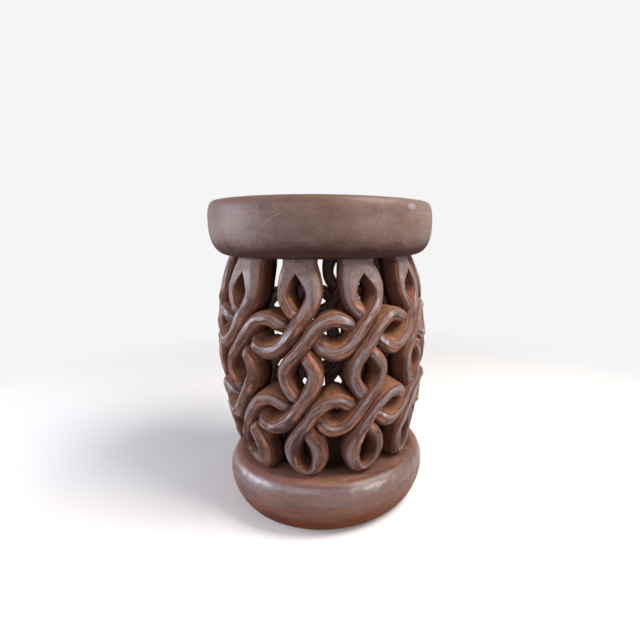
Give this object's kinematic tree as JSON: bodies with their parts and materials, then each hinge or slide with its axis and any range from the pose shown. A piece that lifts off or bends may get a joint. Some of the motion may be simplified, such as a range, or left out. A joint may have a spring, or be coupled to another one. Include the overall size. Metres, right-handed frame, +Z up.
{
  "type": "carved wooden stool",
  "caption": "Round carved wooden stool: a thick disc seat over a barrel-shaped pierced wall of interlaced strands on a bulging round base.",
  "frame": {"origin": "middle of the underside, on the floor", "axes": "+Z up, the pictured side towards -Y, +X to the viewer's right"},
  "size_m": [0.298, 0.298, 0.418],
  "materials": {
    "seat_wood": "dark brown stained hardwood, hand tooled and waxed, satin",
    "base_wood": "reddish brown stained hardwood, rubbed smooth and waxed, satin",
    "strand_wood": "brown stained hardwood, knife-cut bevels worn lighter on their edges, satin"
  },
  "bodies": {
    "root": {"seat": "seat_wood", "base": "base_wood", "lower_strand_01": "strand_wood", "lower_strand_02": "strand_wood", "lower_strand_03": "strand_wood", "lower_strand_04": "strand_wood", "lower_strand_05": "strand_wood", "lower_strand_06": "strand_wood", "lower_strand_07": "strand_wood", "lower_strand_08": "strand_wood", "lower_strand_09": "strand_wood", "lower_strand_10": "strand_wood", "middle_ring_01": "strand_wood", "middle_ring_02": "strand_wood", "middle_ring_03": "strand_wood", "middle_ring_04": "strand_wood", "middle_ring_05": "strand_wood", "middle_ring_06": "strand_wood", "middle_ring_07": "strand_wood", "middle_ring_08": "strand_wood", "middle_ring_09": "strand_wood", "middle_ring_10": "strand_wood", "upper_strand_01": "strand_wood", "upper_strand_02": "strand_wood", "upper_strand_03": "strand_wood", "upper_strand_04": "strand_wood", "upper_strand_05": "strand_wood", "upper_strand_06": "strand_wood", "upper_strand_07": "strand_wood", "upper_strand_08": "strand_wood", "upper_strand_09": "strand_wood", "upper_strand_10": "strand_wood"}
  },
  "joints": []
}
